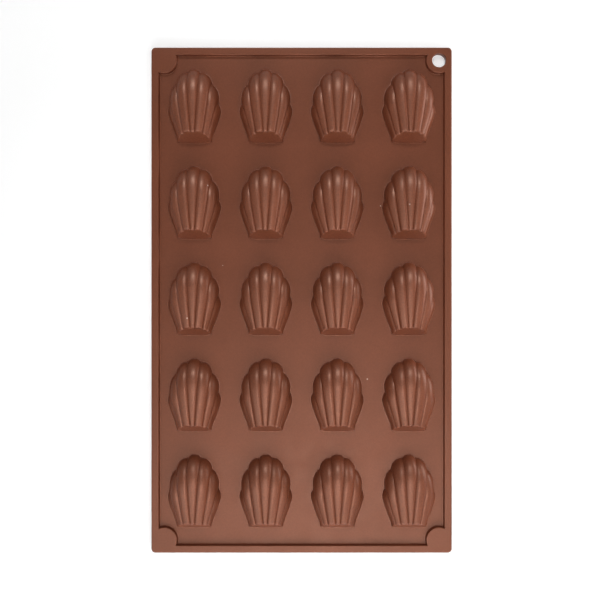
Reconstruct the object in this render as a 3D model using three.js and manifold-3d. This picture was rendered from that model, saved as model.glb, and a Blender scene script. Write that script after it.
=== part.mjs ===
// Silicone madeleine mould: a thin flat deck with a raised border, four corner pads, a hanging hole and
// rows of scalloped shell cups. Millimetres, +Z up. It lies on its open face with the cups pointing up:
// the round ends of the cups point to +Y, their flat ends to -Y.
import * as THREE from 'three';
import { mergeVertices } from 'three/addons/utils/BufferGeometryUtils.js';
import Module from 'manifold-3d';

// Deck
const DECK_THICKNESS = 1.2;
const DECK_CORNER_RADIUS = 2.4;

// Raised border, corner pads and hanging hole
const RIM_WIDTH = 4.4;
const RIM_HEIGHT = 2.5;
const RIM_EDGE_BEVEL = 0.5;
const PAD_RADIUS = 7.5;
const PAD_SHOULDER = 1;
const HANG_HOLE_DIAMETER = 8;

// Cup layout: clear deck between the cups, and from the outer cups to the edges of the sheet
const COLUMNS = 4;
const ROWS = 5;
const COLUMN_GAP = 10.7;
const ROW_GAP = 13.6;
const SIDE_MARGIN = 9.45;
const FAR_MARGIN = 12.6;
const NEAR_MARGIN = 14.2;

// Cup, measured over its outside from the deck's upper face
const CUP_WIDTH = 31;
const CUP_LENGTH = 42.6;
const CUP_HEIGHT = 11.2;
const CUP_WALL = 1;
const CUP_WIDEST_AT = 17.7;
const CUP_TAPER_BOW = 0.4;
const CUP_END_WIDTH = 19.3;
const CUP_END_HEIGHT = 9.4;
const CUP_END_SETBACK = 4.6;

// Ribs: how far they stand over their grooves, at the end face (the middle rib first) and at the lobes
const RIB_RISES_AT_END = [0.45, 0.95, 0.65, 0.4];
const RIB_RISE_AT_LOBE = 1.5;

// Form of the shell, without units. The grooves cross the arch of the end face at shares of its quarter,
// from the middle outwards.
const GROOVES_ON_ARCH = [0.075, 0.39, 0.61];
const FAN_SPAN = THREE.MathUtils.degToRad(154);
const CREST_AT = 0.6;
const CROWN_FULLNESS = 2.1;
const LINE_BOW = 0.15;
const FLANK_DRAW_IN = 0.9;
const RIB_SHOULDER = 0.28;

// Facets: places across one rib and along the shell, from the end face (0) to the foot (1)
const RIB_STEPS = [0, RIB_SHOULDER, 1 - RIB_SHOULDER];
const SHELL_STEPS = [0, 0.3, CREST_AT, 0.77, 0.9, 0.965, 1];
const ARC_STEPS = 5;

// Points closer than this are one point
const WELD_DISTANCE = 1e-4;

const SHEET_WIDTH = COLUMNS * CUP_WIDTH + (COLUMNS - 1) * COLUMN_GAP + 2 * SIDE_MARGIN;
const SHEET_LENGTH = ROWS * CUP_LENGTH + (ROWS - 1) * ROW_GAP + FAR_MARGIN + NEAR_MARGIN;
const HALF_WIDTH = SHEET_WIDTH / 2;
const HALF_LENGTH = SHEET_LENGTH / 2;
const RIB_COUNT = 2 * GROOVES_ON_ARCH.length + 1;
const OUTER_RIB_EDGE = RIB_COUNT / 2;
const FLANK_GROOVE = OUTER_RIB_EDGE - 1;
const GROOVE_ANGLE = FAN_SPAN / (RIB_COUNT - 2);
const WIDEST_RIB = Math.PI / 2 / GROOVE_ANGLE;

// Half angle, seen from a pad's centre, outside the arc that the pad shows within the border.
const PAD_CUT_ANGLE = Math.asin((PAD_RADIUS - RIM_WIDTH) / PAD_RADIUS);

// A pad keeps a short straight shoulder of the border on both sides, where the runs join it.
const PAD_REACH = 2 * PAD_RADIUS + PAD_SHOULDER;

const wasm = await Module();
wasm.setup();
const { lerp } = THREE.MathUtils;

const silicone = new THREE.MeshStandardMaterial({ color: 0x7d4c3a, roughness: 0.5, metalness: 0 });

// Solids

function weld(geometry) {
  geometry.deleteAttribute('normal');
  geometry.deleteAttribute('uv');
  return mergeVertices(geometry, WELD_DISTANCE);
}

function toManifold(geometry) {
  const welded = weld(geometry);
  const vertProperties = new Float32Array(welded.attributes.position.array);
  const triVerts = new Uint32Array(welded.index.array);
  return new wasm.Manifold(new wasm.Mesh({ numProp: 3, vertProperties, triVerts }));
}

function fromManifold(solid) {
  const mesh = solid.getMesh();
  const geometry = new THREE.BufferGeometry();
  geometry.setAttribute('position', new THREE.BufferAttribute(mesh.vertProperties, 3));
  geometry.setIndex(new THREE.BufferAttribute(mesh.triVerts, 1));
  return geometry;
}

// Triangles that share points become one closed body, without those that have shrunk to a line.
function closedBody(triangles) {
  const soup = new THREE.BufferGeometry().setFromPoints(triangles.flat());
  const welded = mergeVertices(soup, WELD_DISTANCE);
  const kept = [];
  for (let i = 0; i < welded.index.count; i += 3) {
    const [a, b, c] = [0, 1, 2].map((corner) => welded.index.getX(i + corner));
    if (a !== b && b !== c && c !== a) kept.push(a, b, c);
  }
  welded.setIndex(kept);
  return welded;
}

function boxBetween(low, high) {
  const size = high.clone().sub(low);
  const middle = low.clone().add(high).multiplyScalar(0.5);
  return new THREE.BoxGeometry(size.x, size.y, size.z).translate(middle.x, middle.y, middle.z);
}

function namedMesh(name, geometry) {
  const mesh = new THREE.Mesh(geometry, silicone);
  mesh.name = name;
  return mesh;
}

// Cup surface. The outer form has no inset and the cavity is the same form set in by the wall.
// u counts ribs from the middle of the cup (0) to the edge of the last rib, and t runs from the end
// face (0) to the foot (1).

function cupForm(inset) {
  const taper = Math.atan2((CUP_WIDTH - CUP_END_WIDTH) / 2, CUP_WIDEST_AT);
  const cornerInset = (inset * (1 - Math.sin(taper))) / Math.cos(taper);
  return {
    start: inset,
    tip: CUP_LENGTH - inset,
    halfWidth: CUP_WIDTH / 2 - inset,
    halfEnd: CUP_END_WIDTH / 2 - cornerInset,
    endHeight: CUP_END_HEIGHT - inset,
    crest: CUP_HEIGHT - inset,
  };
}

// A rib climbs from the groove on each side to its shoulders, and is level between them.
function ribShape(u) {
  const wave = Math.abs(Math.sin(Math.PI * (u + OUTER_RIB_EDGE)));
  return Math.min(1, wave / Math.sin(Math.PI * RIB_SHOULDER));
}

// Number of the rib at a reach from the middle line, 0 for the middle rib.
function ribAt(reach) {
  return Math.min(GROOVES_ON_ARCH.length, Math.floor(reach + 0.5));
}

// Share of the way along the straight taper, from the widest line (0) to a corner of the flat end (1).
function alongTaper(reach) {
  return Math.max(0, (reach - WIDEST_RIB) / (OUTER_RIB_EDGE - WIDEST_RIB));
}

function ribRise(u, t) {
  const reach = Math.abs(u);
  const atLobe = RIB_RISE_AT_LOBE * (1 - alongTaper(reach));
  return lerp(RIB_RISES_AT_END[ribAt(reach)], atLobe, t) * ribShape(u);
}

function endPlane(form, z) {
  return form.start + (CUP_END_SETBACK * z) / CUP_END_HEIGHT;
}

// Height of the middle groove line along the shell: up from the end face to the crest, then down to the foot.
function crownHeight(form, t) {
  const crest = form.crest - lerp(RIB_RISES_AT_END[0], RIB_RISE_AT_LOBE, CREST_AT);
  const end = form.endHeight - RIB_RISES_AT_END[0];
  if (t < CREST_AT) return crest - (crest - end) * (1 - t / CREST_AT) ** 2;
  const fall = (t - CREST_AT) / (1 - CREST_AT);
  return crest * (1 - fall ** CROWN_FULLNESS) ** (1 / CROWN_FULLNESS);
}

// The elliptic arch round the end face, as a width and a share of the height.
function endArch(form, reach) {
  const marks = [-GROOVES_ON_ARCH[0], ...GROOVES_ON_ARCH, 1];
  const rib = ribAt(reach);
  const angle = (Math.PI / 2) * lerp(marks[rib], marks[rib + 1], reach + 0.5 - rib);
  return { x: form.halfEnd * Math.sin(angle), share: Math.cos(angle) };
}

// The foot on the deck: a fan of lobes on an ellipse as far as the widest line, then a faintly bowed taper to
// the corners of the flat end. The grooves alone lie on the ellipse.
function footPoint(form, reach, rise) {
  const onFan = Math.min(reach, WIDEST_RIB);
  const angle = Math.PI / 2 - GROOVE_ANGLE * onFan;
  const halfAcross = form.halfWidth - RIB_RISE_AT_LOBE * ribShape(WIDEST_RIB);
  const halfAlong = form.tip - RIB_RISE_AT_LOBE - CUP_WIDEST_AT;
  const outward = new THREE.Vector2(Math.cos(angle) / halfAcross, Math.sin(angle) / halfAlong).normalize();
  const foot = new THREE.Vector2(halfAcross * Math.cos(angle), CUP_WIDEST_AT + halfAlong * Math.sin(angle));
  foot.addScaledVector(outward, rise * RIB_RISE_AT_LOBE * ribShape(onFan));
  const along = alongTaper(reach);
  foot.lerp(new THREE.Vector2(form.halfEnd, form.start), along);
  foot.x += CUP_TAPER_BOW * Math.sin(Math.PI * along);
  return foot;
}

// The shell without its ribs. Its lines run from the end face to the foot and bow out a little on the way,
// and those of the steep flanks are drawn in.
function carrierPoint(form, u, t) {
  const reach = Math.min(Math.abs(u), OUTER_RIB_EDGE);
  const arch = endArch(form, reach);
  const foot = footPoint(form, reach, 0);
  const archY = endPlane(form, crownHeight(form, 0) * arch.share);
  const bow = LINE_BOW - FLANK_DRAW_IN * Math.max(0, reach - FLANK_GROOVE);
  const spread = t + bow * t * (1 - t);
  return new THREE.Vector3(
    Math.sign(u) * lerp(arch.x, foot.x, spread),
    lerp(archY, foot.y, t),
    crownHeight(form, t) * arch.share,
  );
}

function carrierNormal(form, u, t) {
  const step = 1e-3;
  const [low, high] = [Math.max(0, t - step), Math.min(1, t + step)];
  const across = carrierPoint(form, u + step, t).sub(carrierPoint(form, u - step, t));
  const along = carrierPoint(form, u, high).sub(carrierPoint(form, u, low));
  return across.cross(along).normalize();
}

function cupPoint(form, u, t) {
  const reach = Math.abs(u);
  if (t === 1) {
    const foot = footPoint(form, reach, 1);
    return new THREE.Vector3(Math.sign(u) * foot.x, foot.y, 0);
  }
  if (reach === OUTER_RIB_EDGE) return new THREE.Vector3(Math.sign(u) * form.halfEnd, form.start, 0);
  const point = carrierPoint(form, u, t).addScaledVector(carrierNormal(form, u, t), ribRise(u, t));
  if (t === 0) point.y = endPlane(form, point.z);
  return point;
}

function ribPlaces() {
  const places = [];
  for (let rib = 0; rib < RIB_COUNT; rib += 1) {
    for (const step of RIB_STEPS) places.push(rib + step - OUTER_RIB_EDGE);
  }
  return [...places, OUTER_RIB_EDGE];
}

function shellGrid(form) {
  return SHELL_STEPS.map((t) => ribPlaces().map((u) => cupPoint(form, u, t)));
}

// The surface of one form as triangles facing up and out: the ribbed shell and the flat end face.
function shellTriangles(form) {
  const grid = shellGrid(form);
  const triangles = [];
  for (let row = 0; row + 1 < grid.length; row += 1) {
    for (let col = 0; col + 1 < grid[row].length; col += 1) {
      const [a, b] = [grid[row][col], grid[row][col + 1]];
      const [c, d] = [grid[row + 1][col + 1], grid[row + 1][col]];
      triangles.push([a, b, c], [a, c, d]);
    }
  }
  const heel = new THREE.Vector3(0, form.start, 0);
  const arch = grid[0];
  for (let col = 0; col + 1 < arch.length; col += 1) triangles.push([heel, arch[col + 1], arch[col]]);
  return triangles;
}

// The foot's outline on the deck, from the heel round the lobes and back to the heel.
function footOutline(form) {
  const heel = new THREE.Vector3(0, form.start, 0);
  return [heel, ...ribPlaces().map((u) => cupPoint(form, u, 1))];
}

function cupGeometry() {
  const outer = cupForm(0);
  const cavity = cupForm(CUP_WALL);
  const triangles = shellTriangles(outer);
  for (const [a, b, c] of shellTriangles(cavity)) triangles.push([a, c, b]);
  const outside = footOutline(outer);
  const inside = footOutline(cavity);
  for (let i = 0; i < outside.length; i += 1) {
    const next = (i + 1) % outside.length;
    triangles.push([outside[i], outside[next], inside[next]], [outside[i], inside[next], inside[i]]);
  }
  return closedBody(triangles);
}

// Each cup's place is the middle of its flat end on the deck, row 1 at the far side.
function cupPlace(row, column) {
  const x = (column - (COLUMNS - 1) / 2) * (CUP_WIDTH + COLUMN_GAP);
  const farTip = HALF_LENGTH - FAR_MARGIN - row * (CUP_LENGTH + ROW_GAP);
  return new THREE.Vector3(x, farTip - CUP_LENGTH, DECK_THICKNESS);
}

// Sheet outlines

function sheetOutline() {
  const r = DECK_CORNER_RADIUS;
  const [x, y] = [HALF_WIDTH - r, HALF_LENGTH - r];
  const shape = new THREE.Shape();
  shape.absarc(x, y, r, 0, Math.PI / 2);
  shape.absarc(-x, y, r, Math.PI / 2, Math.PI);
  shape.absarc(-x, -y, r, Math.PI, 1.5 * Math.PI);
  shape.absarc(x, -y, r, 1.5 * Math.PI, 2 * Math.PI);
  return shape;
}

function padCentre(sideX, sideY) {
  return new THREE.Vector2(sideX * (HALF_WIDTH - PAD_RADIUS), sideY * (HALF_LENGTH - PAD_RADIUS));
}

// Two half circles, so that the hole is as round as the pads.
function hangHole() {
  const centre = padCentre(1, 1);
  const path = new THREE.Path();
  path.absarc(centre.x, centre.y, HANG_HOLE_DIAMETER / 2, 0, Math.PI);
  path.absarc(centre.x, centre.y, HANG_HOLE_DIAMETER / 2, Math.PI, 2 * Math.PI);
  return path;
}

// The border's inner outline: straight runs that swell round the pads.
function innerOutline() {
  const path = new THREE.Path();
  const corners = [[1, 1, Math.PI], [-1, 1, 1.5 * Math.PI], [-1, -1, 0], [1, -1, Math.PI / 2]];
  for (const [sideX, sideY, facing] of corners) {
    const centre = padCentre(sideX, sideY);
    const [first, last] = [facing + Math.PI / 2 + PAD_CUT_ANGLE, facing - PAD_CUT_ANGLE];
    path.absarc(centre.x, centre.y, PAD_RADIUS, first, last, true);
  }
  return path;
}

function deckGeometry() {
  const shape = sheetOutline();
  shape.holes.push(hangHole());
  const mouth = footOutline(cupForm(CUP_WALL));
  for (let row = 0; row < ROWS; row += 1) {
    for (let column = 0; column < COLUMNS; column += 1) {
      const place = cupPlace(row, column);
      const points = mouth.map((point) => new THREE.Vector2(point.x + place.x, point.y + place.y));
      shape.holes.push(new THREE.Path(points));
    }
  }
  const settings = { depth: DECK_THICKNESS, bevelEnabled: false, curveSegments: ARC_STEPS };
  return weld(new THREE.ExtrudeGeometry(shape, settings));
}

// The whole border with its pads, reaching below the deck's face, to be cut into runs and pads.
function borderSolid() {
  const shape = sheetOutline();
  shape.holes.push(innerOutline(), hangHole());
  const border = new THREE.ExtrudeGeometry(shape, {
    depth: RIM_HEIGHT,
    bevelThickness: RIM_EDGE_BEVEL,
    bevelSize: RIM_EDGE_BEVEL,
    bevelOffset: -RIM_EDGE_BEVEL,
    bevelSegments: 1,
    curveSegments: ARC_STEPS,
  });
  return toManifold(border.translate(0, 0, DECK_THICKNESS - RIM_EDGE_BEVEL));
}

function borderPart(border, lowX, lowY, highX, highY) {
  const top = DECK_THICKNESS + 2 * RIM_HEIGHT;
  const low = new THREE.Vector3(lowX, lowY, DECK_THICKNESS);
  const high = new THREE.Vector3(highX, highY, top);
  return fromManifold(border.intersect(toManifold(boxBetween(low, high))));
}

function addBorder(group) {
  const border = borderSolid();
  const [x, y] = [HALF_WIDTH - PAD_REACH, HALF_LENGTH - PAD_REACH];
  const [outX, outY] = [HALF_WIDTH + RIM_WIDTH, HALF_LENGTH + RIM_WIDTH];
  const parts = {
    rim_left: [-outX, -y, 0, y],
    rim_right: [0, -y, outX, y],
    rim_far: [-x, 0, x, outY],
    rim_near: [-x, -outY, x, 0],
    corner_pad_far_left: [-outX, y, -x, outY],
    corner_pad_near_left: [-outX, -outY, -x, -y],
    corner_pad_near_right: [x, -outY, outX, -y],
    hang_hole_pad: [x, y, outX, outY],
  };
  for (const [name, limits] of Object.entries(parts)) {
    group.add(namedMesh(name, borderPart(border, ...limits)));
  }
}

function addCups(group) {
  for (let row = 0; row < ROWS; row += 1) {
    for (let column = 0; column < COLUMNS; column += 1) {
      const cup = namedMesh(`cup_row${row + 1}_col${column + 1}`, cupGeometry());
      cup.position.copy(cupPlace(row, column));
      group.add(cup);
    }
  }
}

const mould = new THREE.Group();
mould.add(namedMesh('deck', deckGeometry()));
addBorder(mould);
addCups(mould);

export default mould;
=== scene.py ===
"""Dresses the silicone madeleine mould: fine moulded surfaces, satin silicone, studio light.

The mould lies on its open face with the cups up, and the camera looks straight down on it.
Sizes are in millimetres and become metres when a mesh is finished.
"""
import math

import bmesh
import bpy
import numpy as np
from mathutils import Matrix, Vector
from mathutils.geometry import delaunay_2d_cdt


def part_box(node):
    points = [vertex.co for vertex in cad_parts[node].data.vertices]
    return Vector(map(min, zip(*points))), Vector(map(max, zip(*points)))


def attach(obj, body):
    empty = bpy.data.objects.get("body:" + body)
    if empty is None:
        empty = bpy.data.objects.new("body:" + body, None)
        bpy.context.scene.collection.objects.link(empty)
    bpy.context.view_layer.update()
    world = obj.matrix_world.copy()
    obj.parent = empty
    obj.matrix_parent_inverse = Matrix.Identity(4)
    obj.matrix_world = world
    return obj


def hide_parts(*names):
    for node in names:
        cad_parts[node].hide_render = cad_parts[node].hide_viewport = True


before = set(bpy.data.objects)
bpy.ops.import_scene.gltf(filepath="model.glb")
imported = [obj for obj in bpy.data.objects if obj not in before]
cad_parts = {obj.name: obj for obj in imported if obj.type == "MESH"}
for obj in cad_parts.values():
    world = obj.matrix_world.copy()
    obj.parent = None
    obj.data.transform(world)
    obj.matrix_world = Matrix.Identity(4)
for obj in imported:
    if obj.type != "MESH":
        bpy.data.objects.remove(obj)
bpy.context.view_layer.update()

MM = 0.001
UP = np.array((0.0, 0.0, 1.0))
TOWARDS_NEAR = np.array((0.0, -1.0, 0.0))


def node_box(node):
    """Lowest and highest corner of a CAD node, in millimetres."""
    low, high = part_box(node)
    return low / MM, high / MM


# Sheet and border, from the frame
HALF_WIDTH, HALF_LENGTH, DECK_TOP = node_box("deck")[1]
RIM_LOW, RIM_HIGH = node_box("rim_left")
RIM_WIDTH = RIM_HIGH.x - RIM_LOW.x
RIM_TOP = RIM_HIGH.z
RUN_HALF_LENGTH = RIM_HIGH.y
RUN_HALF_WIDTH = node_box("rim_far")[1].x

# Sheet and border, moulded edges
DECK_CORNER_RADIUS = 2.4
PAD_RADIUS = 7.5
HANG_HOLE_RADIUS = 4.0
OUTER_EDGE_RADIUS = 0.9
INNER_EDGE_RADIUS = 0.5
HOLE_EDGE_RADIUS = 0.4
WALL_DRAFT = 0.12
CREASE_FILLET = 0.35
LIP_RADIUS = 0.4
UNDERSIDE_EDGE_RADIUS = 0.5

# Cup, measured over its outside from the deck's upper face
CUP_WIDTH = 31.0
CUP_LENGTH = 42.6
CUP_HEIGHT = 11.1
CUP_WALL = 1.0
CUP_WIDEST_AT = 17.7
CUP_TAPER_BOW = 0.4
CUP_END_WIDTH = 19.3
CUP_END_HEIGHT = 9.4
CUP_END_SETBACK = 4.6
CROWN_EDGE_RADIUS = 0.8
FOOT_FILLET = 0.15
HEEL_FILLET = 0.06
HEEL_CORNER = 1.1
HEEL_STRAIGHT = 0.72

# Ribs: how far they stand over their grooves at the end face, the middle rib first, and at the lobes
RIB_COUNT = 7
RIB_RISES_AT_END = (0.45, 0.95, 0.65, 0.4)
RIB_RISE_AT_LOBE = 1.25
RIB_GROWTH = 2.0
RIB_FLATNESS_AT_END = 4.0
RIB_FLATNESS_AT_LOBE = 2.4

# Form of the shell, without units. The grooves cross the arch of the end face at shares of its quarter.
GROOVES_ON_ARCH = (0.075, 0.39, 0.61)
FAN_SPAN = math.radians(154)
CREST_AT = 0.6
CROWN_FULLNESS = 2.1
LINE_BOW = 0.15
FLANK_DRAW_IN = 0.9

OUTER_RIB_EDGE = RIB_COUNT / 2
FLANK_GROOVE = OUTER_RIB_EDGE - 1
GROOVE_ANGLE = FAN_SPAN / (RIB_COUNT - 2)
WIDEST_RIB = math.pi / 2 / GROOVE_ANGLE

# Fineness of the meshes
OUTSIDE_RIB_FACETS = 14
CAVITY_RIB_FACETS = 8
OUTSIDE_SHELL_ROWS = 30
CAVITY_SHELL_ROWS = 18
END_FACE_ROWS = 5
FILLET_ROWS = 6
LINE_SAMPLES = 240
CORNER_STEPS = 10
PAD_ARC_STEPS = 40
HOLE_STEPS = 64
EDGE_STEPS = 5

# A fillet takes up at most a share of its line, and runs out on the deck in a feather edge that lies a
# hair above it
LARGEST_FILLET_SHARE = 0.4
FEATHER = 0.3
FEATHER_LIFT = 0.01
WELD_DISTANCE = 0.001
FILL_TOLERANCE = WELD_DISTANCE / 10
SMALLEST_NORMAL = 1e-12
SHARP_ANGLE = math.radians(40)
TRIANGLES_INSIDE = 1

# Material slots of a mesh
OUTSIDE, CAVITY = 0, 1

# Sides of the sheet's corners, anticlockwise from the far right
CORNERS = ((1, 1), (-1, 1), (-1, -1), (1, -1))

# Picture: the deck's scale in the photograph, and the pixel where the middle of the sheet lies
PICTURE_PIXELS = 600
MM_PER_PIXEL = 0.585
SHEET_MIDDLE_PIXEL = (301.6, 300.15)
CAMERA_OVER_DECK = 410.0
SENSOR_WIDTH = 36.0
CLIP_START = 10.0


def lerp(a, b, share):
    return a + (b - a) * share


# Cup surface. u counts ribs from the middle of the cup to the edge of the last rib, and t runs from
# the end face (0) to the foot (1).

class CupForm:
    """One face of a cup's wall: its outside, or the cavity that lies one wall further in."""

    def __init__(self, inset):
        taper = math.atan2((CUP_WIDTH - CUP_END_WIDTH) / 2, CUP_WIDEST_AT)
        self.start = inset
        self.tip = CUP_LENGTH - inset
        self.half_width = CUP_WIDTH / 2 - inset
        self.half_end = CUP_END_WIDTH / 2 - inset * (1 - math.sin(taper)) / math.cos(taper)
        self.end_height = CUP_END_HEIGHT - inset
        self.crest = CUP_HEIGHT - inset

    def end_plane(self, z):
        return self.start + CUP_END_SETBACK * z / CUP_END_HEIGHT

    def crown_height(self, t):
        """Height of the grooves' line along the shell: up to the crest, then down to the foot."""
        crest = self.crest - lerp(RIB_RISES_AT_END[0], RIB_RISE_AT_LOBE, CREST_AT ** RIB_GROWTH)
        end = self.end_height - RIB_RISES_AT_END[0]
        climb = crest - (crest - end) * (1 - np.minimum(t, CREST_AT) / CREST_AT) ** 2
        fall = np.clip((t - CREST_AT) / (1 - CREST_AT), 0, 1)
        drop = crest * (1 - fall ** CROWN_FULLNESS) ** (1 / CROWN_FULLNESS)
        return np.where(t < CREST_AT, climb, drop)

    def end_arch(self, reach):
        """The elliptic arch round the end face, as a width and a share of the height."""
        grooves = np.arange(len(GROOVES_ON_ARCH)) + 0.5
        angle = math.pi / 2 * np.interp(reach, (0, *grooves, OUTER_RIB_EDGE), (0, *GROOVES_ON_ARCH, 1))
        return self.half_end * np.sin(angle), np.cos(angle)

    def foot(self, u, rise):
        """The foot on the deck: a fan of lobes as far as the widest line, then a taper to the corners."""
        reach = np.abs(u)
        on_fan = np.minimum(reach, WIDEST_RIB)
        angle = math.pi / 2 - GROOVE_ANGLE * on_fan
        half_across = self.half_width - RIB_RISE_AT_LOBE * rib_shape(WIDEST_RIB)
        half_along = self.tip - RIB_RISE_AT_LOBE - CUP_WIDEST_AT
        out_x, out_y = np.cos(angle) / half_across, np.sin(angle) / half_along
        push = rise * RIB_RISE_AT_LOBE * rib_shape(on_fan) / np.hypot(out_x, out_y)
        x = half_across * np.cos(angle) + out_x * push
        y = CUP_WIDEST_AT + half_along * np.sin(angle) + out_y * push
        along = along_taper(reach)
        x = lerp(x, self.half_end, along) + CUP_TAPER_BOW * np.sin(math.pi * along)
        y = lerp(y, self.start + HEEL_CORNER, along)
        return np.sign(u) * x, y

    def carrier(self, u, t):
        """The shell without its ribs: lines that bow out a little, drawn in on the steep flanks."""
        reach = np.minimum(np.abs(u), OUTER_RIB_EDGE)
        arch_x, share = self.end_arch(reach)
        foot_x, foot_y = self.foot(reach, 0)
        arch_y = self.end_plane(self.crown_height(0.0) * share)
        bow = LINE_BOW - FLANK_DRAW_IN * np.maximum(0, reach - FLANK_GROOVE)
        spread = t + bow * t * (1 - t)
        x = np.sign(u) * lerp(arch_x, foot_x, spread)
        return np.stack((x, lerp(arch_y, foot_y, t), self.crown_height(t) * share), axis=-1)

    def shell(self, u, t):
        """Lines of the ribbed shell from the end face to the foot, as (samples, lines, 3)."""
        step = 1e-3
        t = t[:, None]
        across = self.carrier(u + step, t) - self.carrier(u - step, t)
        along = self.carrier(u, np.minimum(t + step, 1)) - self.carrier(u, np.maximum(t - step, 0))
        normal = np.cross(across, along)
        normal /= np.maximum(np.linalg.norm(normal, axis=-1, keepdims=True), SMALLEST_NORMAL)
        lines = self.carrier(u, t) + normal * rib_rise(u, t)[..., None]
        lines[0, :, 1] = self.end_plane(lines[0, :, 2])
        lines[-1, :, 0], lines[-1, :, 1] = self.foot(u, 1)
        lines[-1, :, 2] = 0
        corner = np.isclose(np.abs(u), OUTER_RIB_EDGE)
        lines[:, corner] = self.heel(u[corner])
        return lines

    def heel(self, u):
        """Points of the end face's foot: straight in the middle, rounded at the corners."""
        share = u / OUTER_RIB_EDGE
        bend = np.maximum(0, (np.abs(share) - HEEL_STRAIGHT) / (1 - HEEL_STRAIGHT))
        y = self.start + HEEL_CORNER * bend ** 2
        return np.stack((self.half_end * share, y, np.zeros_like(u)), axis=-1)

    def foot_outward(self, u):
        """Level directions away from the cup along its foot, without the lobes."""
        step = 0.02
        ahead = np.stack(self.foot(np.minimum(u + step, OUTER_RIB_EDGE), 0), axis=-1)
        behind = np.stack(self.foot(np.maximum(u - step, -OUTER_RIB_EDGE), 0), axis=-1)
        run = ahead - behind
        outward = np.stack((-run[:, 1], run[:, 0], np.zeros_like(u)), axis=-1)
        return outward / np.linalg.norm(outward, axis=-1, keepdims=True)


def rib_shape(u, flatness=RIB_FLATNESS_AT_LOBE):
    """Height of a rib over its grooves: 0 in the grooves, 1 along its middle line."""
    across = (u + OUTER_RIB_EDGE) % 1
    return 1 - np.abs(2 * across - 1) ** flatness


def along_taper(reach):
    """Share of the way along the straight taper, from the widest line (0) to a corner (1)."""
    return np.maximum(0, (reach - WIDEST_RIB) / (OUTER_RIB_EDGE - WIDEST_RIB))


def rib_rise(u, t):
    """How far the ribs stand out of the carrier: low at the end face, growing towards the lobes."""
    reach = np.minimum(np.abs(u), OUTER_RIB_EDGE)
    rib = np.minimum(reach + 0.5, len(RIB_RISES_AT_END) - 1).astype(int)
    at_end = np.array(RIB_RISES_AT_END)[rib]
    at_lobe = RIB_RISE_AT_LOBE * (1 - along_taper(reach))
    flatness = lerp(RIB_FLATNESS_AT_END, RIB_FLATNESS_AT_LOBE, t)
    return lerp(at_end, at_lobe, t ** RIB_GROWTH) * rib_shape(u, flatness)


def rib_places(facets):
    """Places across all the ribs, closer together near the grooves."""
    in_rib = (1 - np.cos(math.pi * np.arange(facets) / facets)) / 2
    places = (np.arange(RIB_COUNT)[:, None] + in_rib).ravel() - OUTER_RIB_EDGE
    return np.append(places, OUTER_RIB_EDGE)


# Lines and rows of points

def line_lengths(lines):
    """Distance travelled at each sample of each line."""
    steps = np.linalg.norm(np.diff(lines, axis=0), axis=2)
    return np.vstack((np.zeros(lines.shape[1]), np.cumsum(steps, axis=0)))


def points_along(lines, travelled, distances):
    """Points at the given distances along each line, as (rows, lines, 3)."""
    points = np.empty(distances.shape + (3,))
    for line in range(lines.shape[1]):
        for axis in range(3):
            samples = lines[:, line, axis]
            points[:, line, axis] = np.interp(distances[:, line], travelled[:, line], samples)
    return points


def rounded_corner(before, corner, after, rows):
    """Rows on a curve that leaves one side of a corner and arrives on the other."""
    s = np.linspace(0, 1, rows)[:, None, None]
    return (1 - s) ** 2 * before + 2 * s * (1 - s) * corner + s ** 2 * after


def between(first, last, rows):
    """Rows spaced evenly between two, without the two."""
    s = np.linspace(0, 1, rows + 2)[1:-1, None]
    return lerp(first, last, s)


def shell_samples():
    """Values of t, closer together towards the steep foot."""
    return 1 - (1 - np.linspace(0, 1, LINE_SAMPLES)) ** 2


def outside_rows(form, u):
    """The outside of a cup: out of the deck, up the end face, over the crown, down and onto the deck."""
    lines = form.shell(u, shell_samples())
    travelled = line_lengths(lines)
    length = travelled[-1]
    heel, arch, foot = form.heel(u), lines[0], lines[-1]
    climb = arch - heel
    climb_length = np.linalg.norm(climb, axis=1)
    climb_direction = climb / np.maximum(climb_length, WELD_DISTANCE)[:, None]
    heel_fillet = np.minimum(HEEL_FILLET, LARGEST_FILLET_SHARE * climb_length)
    shorter = np.minimum(climb_length, length)
    crown_edge = np.minimum(CROWN_EDGE_RADIUS, LARGEST_FILLET_SHARE * shorter)
    foot_fillet = np.minimum(FOOT_FILLET, LARGEST_FILLET_SHARE * length)
    outward = form.foot_outward(u)
    lift = FEATHER_LIFT * UP

    heel_out = heel + TOWARDS_NEAR * heel_fillet[:, None]
    heel_up = heel + climb_direction * heel_fillet[:, None]
    arch_below = arch - climb_direction * crown_edge[:, None]
    arch_beyond = points_along(lines, travelled, crown_edge[None, :])[0]
    foot_above = points_along(lines, travelled, (length - foot_fillet)[None, :])[0]
    foot_out = foot + outward * foot_fillet[:, None]
    end_face = np.linspace(0, 1, END_FACE_ROWS + 2)[1:-1, None, None]
    shell_distances = between(crown_edge, length - foot_fillet, OUTSIDE_SHELL_ROWS)
    return np.concatenate((
        (heel_out + TOWARDS_NEAR * FEATHER)[None],
        rounded_corner(heel_out + lift, heel, heel_up, FILLET_ROWS),
        lerp(heel_up, arch_below, end_face),
        rounded_corner(arch_below, arch, arch_beyond, FILLET_ROWS),
        points_along(lines, travelled, shell_distances),
        rounded_corner(foot_above, foot, foot_out + lift, FILLET_ROWS),
        (foot_out + outward * FEATHER)[None],
    ))


def cavity_rows(form, u):
    """The cavity: up the inside of the end face, over, and down to the mouth in the deck."""
    lines = form.shell(u, shell_samples())
    travelled = line_lengths(lines)
    heel, arch = form.heel(u), lines[0]
    end_face = np.linspace(0, 1, END_FACE_ROWS + 1)[:-1, None, None]
    shell_distances = between(np.zeros_like(u), travelled[-1], CAVITY_SHELL_ROWS)
    return np.concatenate((
        lerp(heel, arch, end_face),
        arch[None],
        points_along(lines, travelled, shell_distances),
        lines[-1:],
    ))


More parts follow.
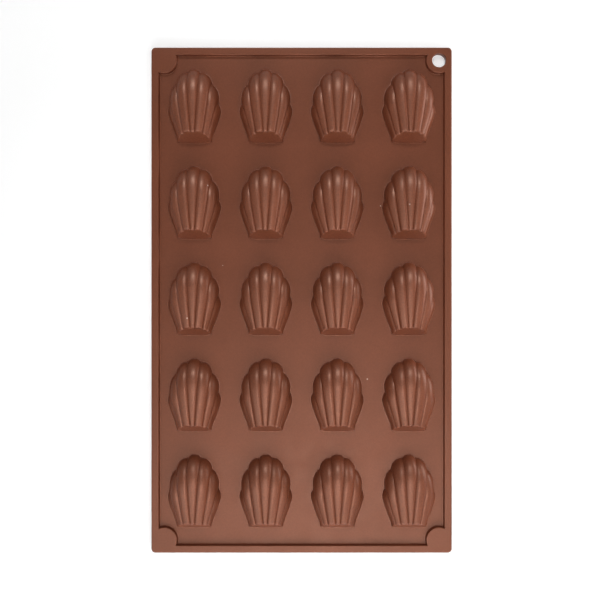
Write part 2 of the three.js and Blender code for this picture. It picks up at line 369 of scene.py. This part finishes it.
def mouth_outline(offset):
    """A cup's mouth in the deck as a closed outline, widened by an offset, anticlockwise from above."""
    form = CupForm(CUP_WALL)
    u = rib_places(CAVITY_RIB_FACETS)[::-1]
    foot_x, foot_y = form.foot(u, 1)
    foot = np.stack((foot_x, foot_y, np.zeros_like(u)), axis=-1) + form.foot_outward(u) * offset
    heel = form.heel(u) + TOWARDS_NEAR * offset
    return np.concatenate((foot, heel[::-1]))[:, :2]


def corner_arcs(centre_inset, radius, angles):
    """Arcs round the sheet's corners joined to a closed outline, from the angles at the far right."""
    arcs = []
    for corner, (side_x, side_y) in enumerate(CORNERS):
        turned = angles + corner * math.pi / 2
        x = side_x * (HALF_WIDTH - centre_inset) + radius * np.cos(turned)
        y = side_y * (HALF_LENGTH - centre_inset) + radius * np.sin(turned)
        arcs.append(np.stack((x, y), axis=-1))
    return np.concatenate(arcs)


def rounded_rectangle(inset):
    """The sheet's outline, set in by an inset."""
    angles = np.linspace(0, math.pi / 2, CORNER_STEPS)
    return corner_arcs(DECK_CORNER_RADIUS, DECK_CORNER_RADIUS - inset, angles)


def border_inner_outline(offset):
    """The border's inner outline, swelling round the pads, moved towards the middle by an offset."""
    radius = PAD_RADIUS + offset
    cut = math.asin((PAD_RADIUS - RIM_WIDTH - offset) / radius)
    angles = np.linspace(math.pi * 3 / 2 + cut, math.pi - cut, PAD_ARC_STEPS)
    return corner_arcs(PAD_RADIUS, radius, angles)


def hole_outline(offset):
    """The hanging hole's outline, widened by an offset."""
    angle = np.linspace(0, 2 * math.pi, HOLE_STEPS, endpoint=False)
    radius = HANG_HOLE_RADIUS + offset
    x = HALF_WIDTH - PAD_RADIUS + radius * np.cos(angle)
    y = HALF_LENGTH - PAD_RADIUS + radius * np.sin(angle)
    return np.stack((x, y), axis=-1)


def quarter_round(radius):
    """(offset, drop) pairs of a rounded edge, from the level face to the upright wall."""
    angles = np.linspace(0, math.pi / 2, EDGE_STEPS)
    return [(radius * (1 - math.sin(a)), radius * (1 - math.cos(a))) for a in angles]


# Mesh building

def add_grid(mesh, rows, material_index):
    """Faces between rows of points; both ends of a row stay open."""
    verts = [[mesh.verts.new(point) for point in row] for row in rows]
    for low, high in zip(verts, verts[1:]):
        for i in range(len(low) - 1):
            face = mesh.faces.new((low[i], low[i + 1], high[i + 1], high[i]))
            face.material_index = material_index


def add_rings(mesh, outlines, heights, material_index):
    """Walls between closed outlines at the given heights. Returns the first and the last ring."""
    rings = []
    for outline, height in zip(outlines, heights):
        rings.append([mesh.verts.new((x, y, height)) for x, y in outline])
    for low, high in zip(rings, rings[1:]):
        for i in range(len(low)):
            j = (i + 1) % len(low)
            face = mesh.faces.new((low[i], low[j], high[j], high[i]))
            face.material_index = material_index
    return rings[0], rings[-1]


def fill_level(mesh, outline, holes, material_index):
    """Closes the level region inside an outline of vertices, around its holes."""
    loops = [outline, *holes]
    verts = [vert for loop in loops for vert in loop]
    starts = np.cumsum([0] + [len(loop) for loop in loops])
    polygons = [list(range(start, end)) for start, end in zip(starts, starts[1:])]
    flat = [vert.co.xy for vert in verts]
    made = delaunay_2d_cdt(flat, [], polygons, TRIANGLES_INSIDE, FILL_TOLERANCE)
    triangles, sources, owners = made[2], made[3], made[5]
    for triangle, owner in zip(triangles, owners):
        if owner == [0]:
            face = mesh.faces.new([verts[sources[corner][0]] for corner in triangle])
            face.material_index = material_index


def fill_ends(mesh, edges, material_index):
    """Closes a flat end that a cut has opened."""
    made = bmesh.ops.triangle_fill(mesh, use_beauty=True, use_dissolve=False, edges=edges)
    for face in made["geom"]:
        if isinstance(face, bmesh.types.BMFace):
            face.material_index = material_index


def open_edges(mesh):
    """Edges with a face on one side only."""
    return [edge for edge in mesh.edges if len(edge.link_faces) == 1]


def finished_mesh(mesh, name):
    """A smooth-shaded mesh in metres, with its creases kept."""
    bmesh.ops.recalc_face_normals(mesh, faces=mesh.faces)
    data = bpy.data.meshes.new(name)
    mesh.to_mesh(data)
    data.transform(Matrix.Scale(MM, 4))
    data.shade_smooth()
    data.set_sharp_from_angle(angle=SHARP_ANGLE)
    return data


def cup_mesh():
    """One cup with the middle of its flat end at the origin, on the deck's upper face."""
    mesh = bmesh.new()
    add_grid(mesh, outside_rows(CupForm(0), rib_places(OUTSIDE_RIB_FACETS)), OUTSIDE)
    add_grid(mesh, cavity_rows(CupForm(CUP_WALL), rib_places(CAVITY_RIB_FACETS)), CAVITY)
    bmesh.ops.remove_doubles(mesh, verts=mesh.verts, dist=WELD_DISTANCE)
    bmesh.ops.dissolve_degenerate(mesh, edges=mesh.edges, dist=WELD_DISTANCE)
    fill_ends(mesh, open_edges(mesh), OUTSIDE)
    return finished_mesh(mesh, "cup")


def deck_mesh(mouth_places):
    """The sheet with the mouths of the cups and the hanging hole, their lips rounded underneath."""
    mesh = bmesh.new()
    edge = quarter_round(UNDERSIDE_EDGE_RADIUS)
    outlines = [rounded_rectangle(inset) for inset, _ in edge] + [rounded_rectangle(0)]
    heights = [rise for _, rise in edge] + [DECK_TOP]
    sheet_under, sheet_top = add_rings(mesh, outlines, heights, OUTSIDE)

    lip = quarter_round(LIP_RADIUS)
    heights = [rise for _, rise in lip] + [DECK_TOP]
    openings = [(hole_outline, Vector((0, 0, 0)))]
    openings += [(mouth_outline, place) for place in mouth_places]
    under, top = [], []
    for outline, place in openings:
        shift = np.array(place.xy)
        outlines = [outline(offset) + shift for offset, _ in lip] + [outline(0) + shift]
        lip_under, lip_top = add_rings(mesh, outlines, heights, CAVITY)
        under.append(lip_under)
        top.append(lip_top)
    fill_level(mesh, sheet_under, under, CAVITY)
    fill_level(mesh, sheet_top, top, OUTSIDE)
    bmesh.ops.remove_doubles(mesh, verts=mesh.verts, dist=WELD_DISTANCE)
    return finished_mesh(mesh, "deck")


def border_ring():
    """The whole border with its pads, to be cut into runs and pads."""
    mesh = bmesh.new()
    outer = quarter_round(OUTER_EDGE_RADIUS)
    outlines = [rounded_rectangle(inset) for inset, _ in outer] + [rounded_rectangle(0)]
    heights = [RIM_TOP - drop for _, drop in outer] + [DECK_TOP]
    outer_top, outer_foot = add_rings(mesh, outlines, heights, OUTSIDE)

    inner = quarter_round(INNER_EDGE_RADIUS)
    crease = [(WALL_DRAFT + offset, rise) for offset, rise in reversed(quarter_round(CREASE_FILLET))]
    feather = WALL_DRAFT + CREASE_FILLET + FEATHER
    offsets = [-inset for inset, _ in inner] + [offset for offset, _ in crease] + [feather]
    heights = [RIM_TOP - drop for _, drop in inner]
    heights += [DECK_TOP + rise + FEATHER_LIFT for _, rise in crease] + [DECK_TOP]
    outlines = [border_inner_outline(offset) for offset in offsets]
    inner_top, inner_foot = add_rings(mesh, outlines, heights, OUTSIDE)

    hole = quarter_round(HOLE_EDGE_RADIUS)
    outlines = [hole_outline(offset) for offset, _ in hole] + [hole_outline(0)]
    heights = [RIM_TOP - drop for _, drop in hole] + [DECK_TOP]
    hole_top, hole_foot = add_rings(mesh, outlines, heights, OUTSIDE)

    fill_level(mesh, outer_top, [inner_top, hole_top], OUTSIDE)
    fill_level(mesh, outer_foot, [inner_foot, hole_foot], OUTSIDE)
    return mesh


def border_part_mesh(ring, cuts, name):
    """The part of the border behind every one of the cutting planes, with its ends closed."""
    part = ring.copy()
    for point, normal in cuts:
        geometry = part.verts[:] + part.edges[:] + part.faces[:]
        cut = bmesh.ops.bisect_plane(
            part, geom=geometry, plane_co=point, plane_no=normal, clear_outer=True
        )
        rim = [edge for edge in cut["geom_cut"] if isinstance(edge, bmesh.types.BMEdge)]
        fill_ends(part, rim, OUTSIDE)
    return finished_mesh(part, name)


def border_cuts():
    """Cutting planes of each run and pad, as points and normals that face what is cut away."""
    right = (Vector((RUN_HALF_WIDTH, 0, 0)), Vector((1, 0, 0)))
    left = (Vector((-RUN_HALF_WIDTH, 0, 0)), Vector((-1, 0, 0)))
    far = (Vector((0, RUN_HALF_LENGTH, 0)), Vector((0, 1, 0)))
    near = (Vector((0, -RUN_HALF_LENGTH, 0)), Vector((0, -1, 0)))
    middle = Vector((0, 0, 0))

    def beyond(plane):
        return plane[0], -plane[1]

    return {
        "rim_left": (far, near, (middle, Vector((1, 0, 0)))),
        "rim_right": (far, near, (middle, Vector((-1, 0, 0)))),
        "rim_far": (left, right, (middle, Vector((0, -1, 0)))),
        "rim_near": (left, right, (middle, Vector((0, 1, 0)))),
        "corner_pad_far_left": (beyond(left), beyond(far)),
        "corner_pad_near_left": (beyond(left), beyond(near)),
        "corner_pad_near_right": (beyond(right), beyond(near)),
        "hang_hole_pad": (beyond(right), beyond(far)),
    }


# Materials

BROWN = (0.1280, 0.0342, 0.0149, 1)
BROWN_PALE = (0.1470, 0.0396, 0.0180, 1)
SILICONE_IOR = 1.388
SILICONE_SHEEN = (1.0, 0.64, 0.5, 1)
SHEET_DEPTH = 0.99

# Noises of the silicone, in cells per metre: clouded pigment, speckle, patches of satin, and pits, whose
# depth is in metres
CLOUDS = {"Scale": 26.0, "Detail": 4.0, "Roughness": 0.6}
SPECKLE = {"Scale": 1100.0, "Detail": 2.0, "Roughness": 0.6}
PATCHES = {"Scale": 140.0, "Detail": 3.0, "Roughness": 0.55}
PITS = {"Scale": 2400.0, "Detail": 2.0, "Roughness": 0.5}
PIT_DEPTH = 0.00005
CLOUD_LOW, CLOUD_HIGH = 0.35, 0.65
NOISE_LOW, NOISE_HIGH = 0.3, 0.7

# Dust: cells per metre, of which some hold a speck in their middle
DUST = (0.42, 0.30, 0.25, 1)
DUST_CELLS = 260.0
DUST_SIZE = 0.12

# Floor, in metres: it glows more with distance, so that it is white up to the horizon
FLOOR_PALE = (0.8, 0.8, 0.8, 1)
FLOOR_ROUGHNESS = 0.9
FLOOR_GLOW = 0.36
GLOW_NEAR_AT = 0.2
GLOW_FULL_AT = 0.9
FLOOR_HALF_SIZE = 3.0
FLOOR_GAP = 0.00005


def new_node(tree, kind, **values):
    """A node with some of its inputs set by name."""
    node = tree.nodes.new(kind)
    for name, value in values.items():
        node.inputs[name.replace("_", " ")].default_value = value
    return node


def noise(tree, place, settings):
    """A noise texture's value at a place."""
    node = new_node(tree, "ShaderNodeTexNoise", **settings)
    tree.links.new(place, node.inputs["Vector"])
    return node.outputs["Fac"]


def ranged(tree, value, low, high, to_low, to_high):
    """A value stretched from one range to another."""
    node = new_node(tree, "ShaderNodeMapRange", From_Min=low, From_Max=high, To_Min=to_low, To_Max=to_high)
    tree.links.new(value, node.inputs["Value"])
    return node.outputs["Result"]


def math_node(tree, operation, first, second):
    """The result of an operation on two values, of which the second may be a plain number."""
    node = tree.nodes.new("ShaderNodeMath")
    node.operation = operation
    tree.links.new(first, node.inputs[0])
    if isinstance(second, float):
        node.inputs[1].default_value = second
    else:
        tree.links.new(second, node.inputs[1])
    return node.outputs["Value"]


def seen_rays(tree):
    """1 for what the camera sees, mirrored and through glass too, and 0 for light on other surfaces."""
    ray = tree.nodes.new("ShaderNodeLightPath").outputs
    seen = math_node(tree, "MAXIMUM", ray["Is Camera Ray"], ray["Is Glossy Ray"])
    return math_node(tree, "MAXIMUM", seen, ray["Is Transmission Ray"])


def deeper(colour, depth):
    """A colour made darker by a factor."""
    return (colour[0] * depth, colour[1] * depth, colour[2] * depth, 1)


def clouded_pigment(tree, place, depth):
    """The brown of the silicone, clouded between two tones."""
    pigment = tree.nodes.new("ShaderNodeValToRGB")
    low, high = pigment.color_ramp.elements
    low.position, high.position = CLOUD_LOW, CLOUD_HIGH
    low.color, high.color = deeper(BROWN, depth), deeper(BROWN_PALE, depth)
    tree.links.new(noise(tree, place, CLOUDS), pigment.inputs["Fac"])
    return pigment.outputs["Color"]


def speckled_colour(tree, place, colour, contrast):
    """A colour with fine lighter and darker grains."""
    grains = noise(tree, place, SPECKLE)
    tone = ranged(tree, grains, NOISE_LOW, NOISE_HIGH, 1 - contrast, 1 + contrast)
    speckled = tree.nodes.new("ShaderNodeVectorMath")
    speckled.operation = "SCALE"
    tree.links.new(colour, speckled.inputs[0])
    tree.links.new(tone, speckled.inputs["Scale"])
    return speckled.outputs["Vector"]


def dusted_colour(tree, place, colour, share):
    """A colour with small round specks of dust in a share of the cells."""
    cells = new_node(tree, "ShaderNodeTexVoronoi", Scale=DUST_CELLS)
    tree.links.new(place, cells.inputs["Vector"])
    lot = tree.nodes.new("ShaderNodeSeparateColor")
    tree.links.new(cells.outputs["Color"], lot.inputs["Color"])
    chosen = math_node(tree, "LESS_THAN", lot.outputs["Red"], share)
    near = math_node(tree, "LESS_THAN", cells.outputs["Distance"], DUST_SIZE)
    dusted = tree.nodes.new("ShaderNodeMix")
    dusted.data_type = "RGBA"
    factor, plain, speck = dusted.inputs[0], dusted.inputs[6], dusted.inputs[7]
    tree.links.new(math_node(tree, "MULTIPLY", chosen, near), factor)
    tree.links.new(colour, plain)
    speck.default_value = DUST
    return dusted.outputs[2]


def silicone(name, smooth, rough, grain, contrast, dust=0.0, depth=1.0):
    """Moulded silicone: clouded pigment, fine grain, a satin that varies, and a few specks of dust."""
    material = bpy.data.materials.new(name)
    material.use_nodes = True
    tree = material.node_tree
    shader = tree.nodes["Principled BSDF"]
    shader.inputs["IOR"].default_value = SILICONE_IOR
    shader.inputs["Specular Tint"].default_value = SILICONE_SHEEN
    place = tree.nodes.new("ShaderNodeTexCoord").outputs["Object"]

    pigment = clouded_pigment(tree, place, depth)
    speckled = speckled_colour(tree, place, pigment, contrast)
    tree.links.new(dusted_colour(tree, place, speckled, dust), shader.inputs["Base Color"])

    patches = noise(tree, place, PATCHES)
    satin_range = ranged(tree, patches, NOISE_LOW, NOISE_HIGH, smooth, rough)
    tree.links.new(satin_range, shader.inputs["Roughness"])

    bump = new_node(tree, "ShaderNodeBump", Strength=grain, Distance=PIT_DEPTH)
    tree.links.new(noise(tree, place, PITS), bump.inputs["Height"])
    tree.links.new(bump.outputs["Normal"], shader.inputs["Normal"])
    return material


def floor_material():
    """A pale floor that the camera sees as white, with the mould's shadow on it."""
    material = bpy.data.materials.new("floor_white")
    material.use_nodes = True
    tree = material.node_tree
    shader = tree.nodes["Principled BSDF"]
    shader.inputs["Base Color"].default_value = FLOOR_PALE
    shader.inputs["Roughness"].default_value = FLOOR_ROUGHNESS

    distance = tree.nodes.new("ShaderNodeVectorMath")
    distance.operation = "LENGTH"
    place = tree.nodes.new("ShaderNodeNewGeometry").outputs["Position"]
    tree.links.new(place, distance.inputs[0])
    brightness = ranged(tree, distance.outputs["Value"], GLOW_NEAR_AT, GLOW_FULL_AT, FLOOR_GLOW, 1.0)
    glow = tree.nodes.new("ShaderNodeEmission")
    tree.links.new(math_node(tree, "MULTIPLY", seen_rays(tree), brightness), glow.inputs["Strength"])

    both = tree.nodes.new("ShaderNodeAddShader")
    tree.links.new(shader.outputs["BSDF"], both.inputs[0])
    tree.links.new(glow.outputs["Emission"], both.inputs[1])
    tree.links.new(both.outputs["Shader"], tree.nodes["Material Output"].inputs["Surface"])
    return material


def add_floor():
    """A level floor just under the mould."""
    data = bpy.data.meshes.new("floor")
    s = FLOOR_HALF_SIZE
    corners = ((-s, -s, -FLOOR_GAP), (s, -s, -FLOOR_GAP), (s, s, -FLOOR_GAP), (-s, s, -FLOOR_GAP))
    data.from_pydata(corners, [], [(0, 1, 2, 3)])
    data.materials.append(floor_material())
    floor = bpy.data.objects.new("floor", data)
    bpy.context.scene.collection.objects.link(floor)


# Light and camera. Lamps are placed and sized in millimetres, and their powers are in watts.

AMBIENT = 0.29
SHEET_MIDDLE = (0, 0, 0)
SPOT_CONE = math.radians(15)
SPOT_SOFTNESS = 1.0
FAR_LAMP_Y, FAR_LAMP_Z = 1258, 1554
FAR_SHEEN_XS = (-240, 60, 360)


def set_world():
    """Even white surroundings: dim as a light, white where they are seen or mirrored."""
    world = bpy.data.worlds.new("white_tent")
    world.use_nodes = True
    bpy.context.scene.world = world
    tree = world.node_tree
    background = tree.nodes["Background"]
    background.inputs["Color"].default_value = (1, 1, 1, 1)
    strength = ranged(tree, seen_rays(tree), 0, 1, AMBIENT, 1.0)
    tree.links.new(strength, background.inputs["Strength"])


def place_lamp(light, place, aim, diffuse, glossy):
    """Hangs a light up, out of the camera's sight, to light what it shines on or to be mirrored in it."""
    lamp = bpy.data.objects.new(light.name, light)
    lamp.location = Vector(place) * MM
    lamp.rotation_mode = "QUATERNION"
    lamp.rotation_quaternion = (Vector(aim) - Vector(place)).to_track_quat("-Z", "Y")
    lamp.visible_camera = False
    lamp.visible_diffuse = diffuse
    lamp.visible_glossy = glossy
    bpy.context.scene.collection.objects.link(lamp)
    return lamp


def add_panel(name, place, size, power, diffuse=True, glossy=True):
    """A soft panel at a place, facing the middle of the sheet."""
    light = bpy.data.lights.new(name, "AREA")
    light.shape = "RECTANGLE"
    light.size, light.size_y = size[0] * MM, size[1] * MM
    light.energy = power
    return place_lamp(light, place, SHEET_MIDDLE, diffuse, glossy)


def add_spot(name, place, aim, radius, power, diffuse=True, glossy=True):
    """A round lamp with a soft-edged cone."""
    light = bpy.data.lights.new(name, "SPOT")
    light.spot_size = SPOT_CONE
    light.spot_blend = SPOT_SOFTNESS
    light.shadow_soft_size = radius * MM
    light.energy = power
    return place_lamp(light, place, aim, diffuse, glossy)


def light_only(lamp, pieces):
    """Keeps a lamp's light on some pieces."""
    lit = bpy.data.collections.new(lamp.name + "_lights")
    for piece in pieces:
        lit.objects.link(piece)
    lamp.light_linking.receiver_collection = lit


def add_lights(cups):
    """Lamps around the mould. One called sheen gives highlights alone, and some of these only to the cups."""
    add_spot("spot_far", (-65, FAR_LAMP_Y, FAR_LAMP_Z), (0, 100, 0), 110, 45)
    for x in FAR_SHEEN_XS:
        place = (x, FAR_LAMP_Y, FAR_LAMP_Z)
        light_only(add_spot("spot_far_sheen", place, (0, 40, 0), 180, 72, diffuse=False), cups)
    add_panel("panel_right", (420, 90, 50), (300, 90), 1.2)
    add_panel("panel_left", (-520, -160, 300), (300, 300), 0.12)
    add_panel("panel_near", (120, -580, 330), (700, 300), 3.0)
    add_panel("panel_near_low_sheen", (0, -640, 190), (900, 300), 4.6, diffuse=False)
    add_panel("panel_near_high_sheen", (60, -410, 1000), (520, 380), 6.0, diffuse=False)
    add_panel("panel_near_left_sheen", (-1111, -966, 1635), (600, 600), 18.0, diffuse=False)
    add_panel("panel_right_high_sheen", (1000, -300, 1200), (500, 700), 3.0, diffuse=False)
    add_panel("panel_overhead", (40, 0, 580), (200, 200), 0.62, glossy=False)
    near_mid = add_panel("panel_near_mid_sheen", (40, -300, 1000), (300, 380), 4.4, diffuse=False)
    light_only(near_mid, cups)


def add_camera():
    """Straight above the sheet, with the far side at the top of the picture."""
    data = bpy.data.cameras.new("camera")
    data.sensor_width = SENSOR_WIDTH
    data.lens = SENSOR_WIDTH * CAMERA_OVER_DECK / (PICTURE_PIXELS * MM_PER_PIXEL)
    data.clip_start = CLIP_START * MM
    camera = bpy.data.objects.new("camera", data)
    middle = PICTURE_PIXELS / 2
    x = (middle - SHEET_MIDDLE_PIXEL[0]) * MM_PER_PIXEL
    y = (SHEET_MIDDLE_PIXEL[1] - middle) * MM_PER_PIXEL
    camera.location = Vector((x, y, DECK_TOP + CAMERA_OVER_DECK)) * MM
    bpy.context.scene.collection.objects.link(camera)
    bpy.context.scene.camera = camera


# Pieces

def add_piece(node, data, *materials):
    """Puts a finished mesh in place of a CAD node."""
    for material in materials:
        data.materials.append(material)
    piece = bpy.data.objects.new(node + "_skin", data)
    bpy.context.scene.collection.objects.link(piece)
    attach(piece, "root")
    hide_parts(node)
    return piece


def even_normals(piece):
    """Keeps the large level faces shaded level beside their rounded edges."""
    modifier = piece.modifiers.new("even_normals", "WEIGHTED_NORMAL")
    modifier.keep_sharp = True


def cup_place(node):
    """The middle of a cup's flat end on the deck's upper face."""
    low, high = node_box(node)
    return Vector(((low.x + high.x) / 2, low.y, DECK_TOP))


cup_places = {node: cup_place(node) for node in sorted(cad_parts) if node.startswith("cup_")}
satin = silicone("silicone_satin", smooth=0.38, rough=0.46, grain=0.25, contrast=0.2, dust=0.012)
gloss = silicone("silicone_gloss", smooth=0.24, rough=0.32, grain=0.1, contrast=0.04)
sheet = silicone(
    "silicone_sheet", smooth=0.35, rough=0.43, grain=0.25, contrast=0.1, dust=0.002, depth=SHEET_DEPTH
)

even_normals(add_piece("deck", deck_mesh(cup_places.values()), sheet, gloss))
border = border_ring()
for part_name, part_cuts in border_cuts().items():
    even_normals(add_piece(part_name, border_part_mesh(border, part_cuts, part_name), sheet))
border.free()

cups = []
one_cup = cup_mesh()
for cup_name, cup_at in cup_places.items():
    cup_data = one_cup.copy()
    cup_data.transform(Matrix.Translation(cup_at * MM))
    cups.append(add_piece(cup_name, cup_data, satin, gloss))
bpy.data.meshes.remove(one_cup)

add_floor()
set_world()
add_lights(cups)
add_camera()
bpy.context.scene.view_settings.view_transform = "Standard"
